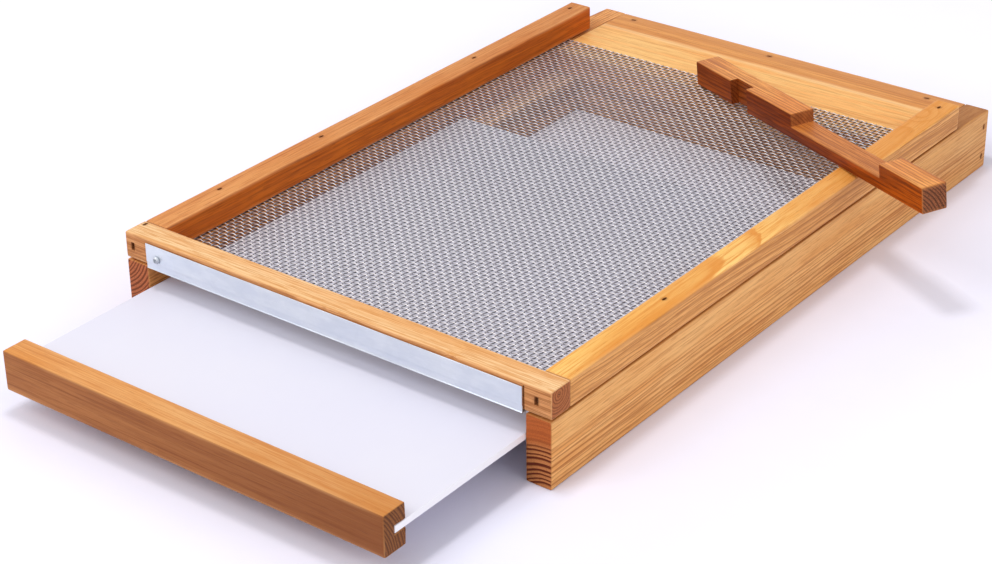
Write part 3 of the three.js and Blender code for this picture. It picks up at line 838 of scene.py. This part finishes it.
def panScrew():
    # head: height(r) = full * (1 - (r / radius)^4)^(1/2), less slotDepth where min(|u|, |v|) < slot and both
    # are under slotLength; shank: rings of the given widths at the given depths, which make its thread
    low, high = extent("clamp_screw")
    cx, cz = (low[0] + high[0]) / 2, (low[2] + high[2]) / 2
    radius, full = (high[0] - low[0]) / 2 - screw["headInset"], screw["headHeight"]
    r = radius * np.sin(np.linspace(0, quarter, screw["rings"]))[:, None]
    turned = np.linspace(0, 2 * math.pi, screw["spokes"], endpoint=False)[None]
    u, v = abs(r * np.cos(turned + screw["crossTurn"])), abs(r * np.sin(turned + screw["crossTurn"]))
    slot, slotEdge = screw["slot"]
    slotEnd, slotEndEdge = screw["slotLength"]
    cross = np.clip((slot - np.minimum(u, v)) / slotEdge, 0, 1)
    cross = cross * np.clip((slotEnd - np.maximum(u, v)) / slotEndEdge, 0, 1)
    rise = full * np.sqrt(np.clip(1 - (r / radius) ** 4, 0, 1)) - screw["slotDepth"] * cross
    face = low[1] + full
    head = np.stack([cx + r * np.cos(turned), face - rise, cz + r * np.sin(turned)], -1)
    depth = np.array([*screw["depths"], high[1] - face])[:, None] + 0 * turned
    width = np.array([radius, *screw["widths"]])[:, None]
    shank = np.stack([cx + width * np.cos(turned), face + depth, cz + width * np.sin(turned)], -1)
    points = np.concatenate([head[1:-1], shank]).reshape(-1, 3)  # the shank's first ring is the head's rim
    ring = np.arange(screw["spokes"])
    rows = screw["rings"] - 2 + len(depth)
    faces = gridFaces(rows, screw["spokes"])
    faces += np.stack([np.full_like(ring, len(points)), np.roll(ring, -1), ring], 1).tolist()
    faces.append((ring + (rows - 1) * screw["spokes"]).tolist())
    points = np.concatenate([points, head[0].mean(0)[None]])
    piece = meshFrom("panScrew", points, faces, smoothAngle=screw["smoothAngle"])
    dress(piece, "clamp_screw", "board", zincMaterial("screwZinc", screw))


foldedStrip()
panScrew()
print("strip and screw made")


# Catch tray: white sheet and grooved handle

sheet = {
    "corner": 0.5, "tones": [0.3, 1.0, 0.0, 1.0], "ease": 0.4, "gap": 40,
    "cloudScale": 0.012, "cloud": (0.3, 0.7), "colour": "dfdde9", "shade": "dddbe9",
    "scratchScale": (2.4, 0.02, 1.0), "scratch": (0.66, 0.82, 0.0, 0.3), "mark": "c8c4d3", "groove": 0.5,
    # painted light: the cut edges, by the side tone times edge, are painted paler than the top
    "edge": 0.8, "paintedEdgeLight": "fbf9fb", "skinScale": 1.6, "rough": (0.3, 0.7, 0.42, 0.56),
    "bump": (0.25, 0.05), "shine": {"Specular IOR Level": 0.4},
}


def sheetMaterial():
    bench = Bench("traySheetPlastic")
    place = bench.millimetres()
    cloud = bench.noise(place, sheet["cloudScale"], 3.0)
    skin = bench.noise(place, sheet["skinScale"], 3.0, 0.55)
    scratch = bench.noise(place, sheet["scratchScale"], 2.0, 0.6)
    colour = bench.mix(bench.fade(cloud, *sheet["cloud"]), sheet["colour"], sheet["shade"])
    colour = bench.mix(bench.fade(scratch, *sheet["scratch"]), colour, sheet["mark"])
    # painted light on the sheet's cut edges
    colour = bench.mix(bench.times(bench.finishShares()[0], sheet["edge"]), colour, sheet["paintedEdgeLight"])
    height = bench.plus(skin, bench.times(scratch, sheet["groove"]))
    return bench.surface(colour, bench.fade(skin, *sheet["rough"]), height, sheet)


sheetLow, sheetHigh = extent("tray_sheet")
sheetOutline = boardOutline("tray_sheet", "y", sheet["corner"], sheet["tones"])
sheetPiece = carriedTimber("traySheet", sheetOutline, sheetLow[1], sheetHigh[1], boardAxes["y"], seed=14,
                           ease=sheet["ease"], gap=sheet["gap"])
dress(sheetPiece, "tray_sheet", "tray", sheetMaterial())
print("tray sheet made")

handle = {
    "kerf": 9.6, "kerfPlay": 0.3,
    "radii": [1.1, 1.1, 0.3, 0.15, 0.15, 0.3, 0.9, 0.8], "tones": [0.6, 0.8, 0.9, 0.9, 0.9, 0.8, 0.0, 1.0],
    "pith": (0, -380, 10), "turn": (0, 0.005, -0.008), "ring": 2.2, "sway": 7, "ripple": 1.0, "faint": 0.3,
    "early": "e4a562", "warm": "d68e47", "pale": "e7b175", "late": "bc6e2f", "ringDepth": 0.3,
    "side": "b97841", "sideWarm": "a56432", "sideLate": "7c4118", "tint": (-230, 190, 0.8, "7c4118"),
    "end": "8a552d", "endLate": "4a2716", "arris": "f0b678",
    "fibre": 0.35, "dash": 0.25, "line": 0.4, "rough": 0.38,
}
low, high = extent("tray_handle")
kerfLow, kerfHigh = sheetLow[2] - handle["kerfPlay"], sheetHigh[2] + handle["kerfPlay"]
kerfEnd = high[1] - handle["kerf"]
handleOutline = roundedOutline(
    [(low[1], low[2]), (high[1], low[2]), (high[1], kerfLow), (kerfEnd, kerfLow), (kerfEnd, kerfHigh),
     (high[1], kerfHigh), (high[1], high[2]), (low[1], high[2])], handle["radii"], handle["tones"])
handlePiece = carriedTimber("trayHandle", handleOutline, low[0], high[0], boardAxes["x"], seed=15)
placeTimber(handlePiece, "tray_handle", "tray", handle)


# Entrance reducer: a stick with a wide recess along its top and a small notch through one side

reducer = {
    "size": 19, "length": 311, "ease": 0.9, "gap": 4,
    "corner": (-64.729, 248.85, 49.0), "along": (0.87298, -0.47869, 0.09360),
    "across": (0.47596, 0.87798, 0.05103), "up": (-0.10661, 0.0, 0.99430),
    "wide": (142.3, 258.3, 9.6), "small": (53.8, 77.8, 6.5),  # from, to, depth
    "radii": [1.0, 1.0, 1.1, 0.8, 0.3, 0.3, 0.8, 1.1],
    "tones": [0.6, 0.5, 0.0, 0.6, 0.3, 0.6, 0.0, 0.6], "ends": [0, 1, 0, 0.4, 0, 0.4, 0, 1],
    # notch walls: the full side tone as painted shade, and end grain at 0.35
    "cap": (1.0, 0.0), "notchGrainAndShade": (1.0, 0.0, 0.35, 1.0), "beyond": 4,
    "heart": (0, -26, -14), "skew": 0.012,  # the pith in the stick's own frame, and the grain's turn there
    "ring": 2.3, "sway": 9, "ripple": 1.2, "faint": 0.35,
    "early": "eb974b", "warm": "cf7c36", "pale": "f7b560", "late": "a55828", "ringDepth": 0.9,
    "side": "9c4103", "sideWarm": "772c02", "sidePale": "c25a0c", "sideLate": "5f2202",
    "end": "965735", "endLate": "3d2110", "arris": "cf8a52", "pore": 0.9, "rough": 0.36,
}
size, length, beyond = reducer["size"], reducer["length"], reducer["beyond"]
wideStart, wideEnd, wideDepth = reducer["wide"]
stickOutline = roundedOutline(
    [(0, 0), (length, 0), (length, size), (wideEnd, size), (wideEnd, size - wideDepth),
     (wideStart, size - wideDepth), (wideStart, size), (0, size)],
    reducer["radii"], reducer["tones"], reducer["ends"])
stickAxes = (reducer["along"], reducer["up"], reducer["across"], reducer["corner"])
stick = carriedTimber("entranceReducer", stickOutline, 0.0, float(size), stickAxes, seed=16,
                      ease=reducer["ease"], gap=reducer["gap"], cap=reducer["cap"])
smallStart, smallEnd, smallDepth = reducer["small"]
notchBox = (smallStart, -beyond, -beyond), (smallEnd, smallDepth, size + beyond)
lie = reducer["along"], reducer["across"], reducer["up"]
# the notch's cut walls take the stick's darkest side colour, painted shade inside the notch, and less end
# grain than other cuts
cutOut(stick, [notchBox], (*lie, reducer["corner"]), reducer["notchGrainAndShade"])
pith = np.array(reducer["heart"]) @ np.array(lie) + reducer["corner"]
turn = tuple((Matrix(lie).transposed() @ Matrix.Rotation(reducer["skew"], 3, "Z")).to_euler("XYZ"))
placeTimber(stick, "entrance_reducer", "reducer", {**reducer, "pith": pith, "turn": turn})


# Brads keep their solids and get a steel finish

bradLook = {"scale": 0.9, "rust": (0.35, 0.65), "light": "7a5230", "dark": "4a2d18",
            "rough": (0.3, 0.7, 0.4, 0.65), "bump": (0.3, 0.1), "shine": {"Metallic": 0.35}}


def bradMaterial():
    bench = Bench("bradSteel")
    rust = bench.noise(bench.millimetres(), bradLook["scale"], 3.0, 0.6)
    colour = bench.mix(bench.fade(rust, *bradLook["rust"]), bradLook["light"], bradLook["dark"])
    return bench.surface(colour, bench.fade(rust, *bradLook["rough"]), rust, bradLook)


steel = bradMaterial()
for node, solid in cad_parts.items():
    if "brad" in node:
        for slot in solid.material_slots:
            slot.material = steel
print("brads finished")


# Floor, backdrop and light, in metres

studio = {
    "floor": 6.0, "floorColour": "f1f0ff", "floorShade": "eeedfc", "paperScale": 30.0, "worldLevel": 0.66,
    "shadow": (0.2, 0.33),  # half sizes that keep the board's shadow; the backdrop's white starts outside
    "nearGlow": (0.0, 0.2, 0.0, 0.14), "farGlow": (0.25, 1.3, 0.0, 0.3),
}
lampAim = (0, 0, 0.03)
lamps = {
    # too small to be seen in gloss, where it would spark on the wires
    "overheadBox": {"at": (-0.1, -0.2, 1.6), "size": 0.24, "power": 6.8, "glossy": False},
    "rightBox": {"at": (1.9, -0.3, 0.8), "size": 1.2, "power": 7.0},
    "backSideBox": {"at": (-0.5, -1.5, 1.6), "size": 1.2, "power": 14.0},
}


def whiteRays(bench):
    # what the camera, gloss and glass see
    path = bench.add("LightPath").outputs
    seen = bench.math("MAXIMUM", path["Is Camera Ray"], path["Is Glossy Ray"])
    return bench.math("MAXIMUM", seen, path["Is Transmission Ray"])


def layFloor():
    half = studio["floor"] / 2
    corners = [(-half, -half, 0), (half, -half, 0), (half, half, 0), (-half, half, 0)]
    mesh = bpy.data.meshes.new("floor")
    mesh.from_pydata(corners, [], [(0, 1, 2, 3)])
    floor = bpy.data.objects.new("floor", mesh)
    scene.collection.objects.link(floor)
    bench = Bench("paleFloor")
    paper = bench.noise(bench.metres(), studio["paperScale"], 3.0)
    lit = bench.add("BsdfDiffuse", {"Color": bench.mix(paper, studio["floorColour"], studio["floorShade"])})
    overX, overY = (bench.minus(bench.math("ABSOLUTE", bench.part(bench.metres(), axis)), edge)
                    for axis, edge in zip("XY", studio["shadow"]))
    over = bench.math("MAXIMUM", overX, overY)
    away = bench.plus(bench.fade(over, *studio["nearGlow"]), bench.fade(over, *studio["farGlow"]))
    glow = bench.add("Emission", {"Color": "ffffff", "Strength": bench.times(whiteRays(bench), away)})
    both = bench.add("AddShader", {0: lit.outputs[0], 1: glow.outputs[0]})
    bench.add("OutputMaterial", {"Surface": both.outputs[0]})
    mesh.materials.append(bench.holder)


def hangLight(name, at, size, power, glossy=True):
    lamp = bpy.data.lights.new(name, "AREA")
    lamp.shape, lamp.size, lamp.energy = "SQUARE", size, power
    holder = bpy.data.objects.new(name, lamp)
    scene.collection.objects.link(holder)
    aim = Vector(lampAim) - Vector(at)
    holder.matrix_world = Matrix.Translation(at) @ aim.to_track_quat("-Z", "Y").to_matrix().to_4x4()
    holder.visible_glossy = glossy


layFloor()
for name, lamp in lamps.items():
    hangLight(name, **lamp)

scene.world = bpy.data.worlds.new("studioWorld")
bench = Bench(scene.world)
level = bench.add("MapRange", {"Value": whiteRays(bench), "To Min": studio["worldLevel"], "To Max": 1.0})
sky = bench.add("Background", {"Color": "ffffff", "Strength": level.outputs["Result"]})
bench.add("OutputWorld", {"Surface": sky.outputs["Background"]})
print("studio lit")
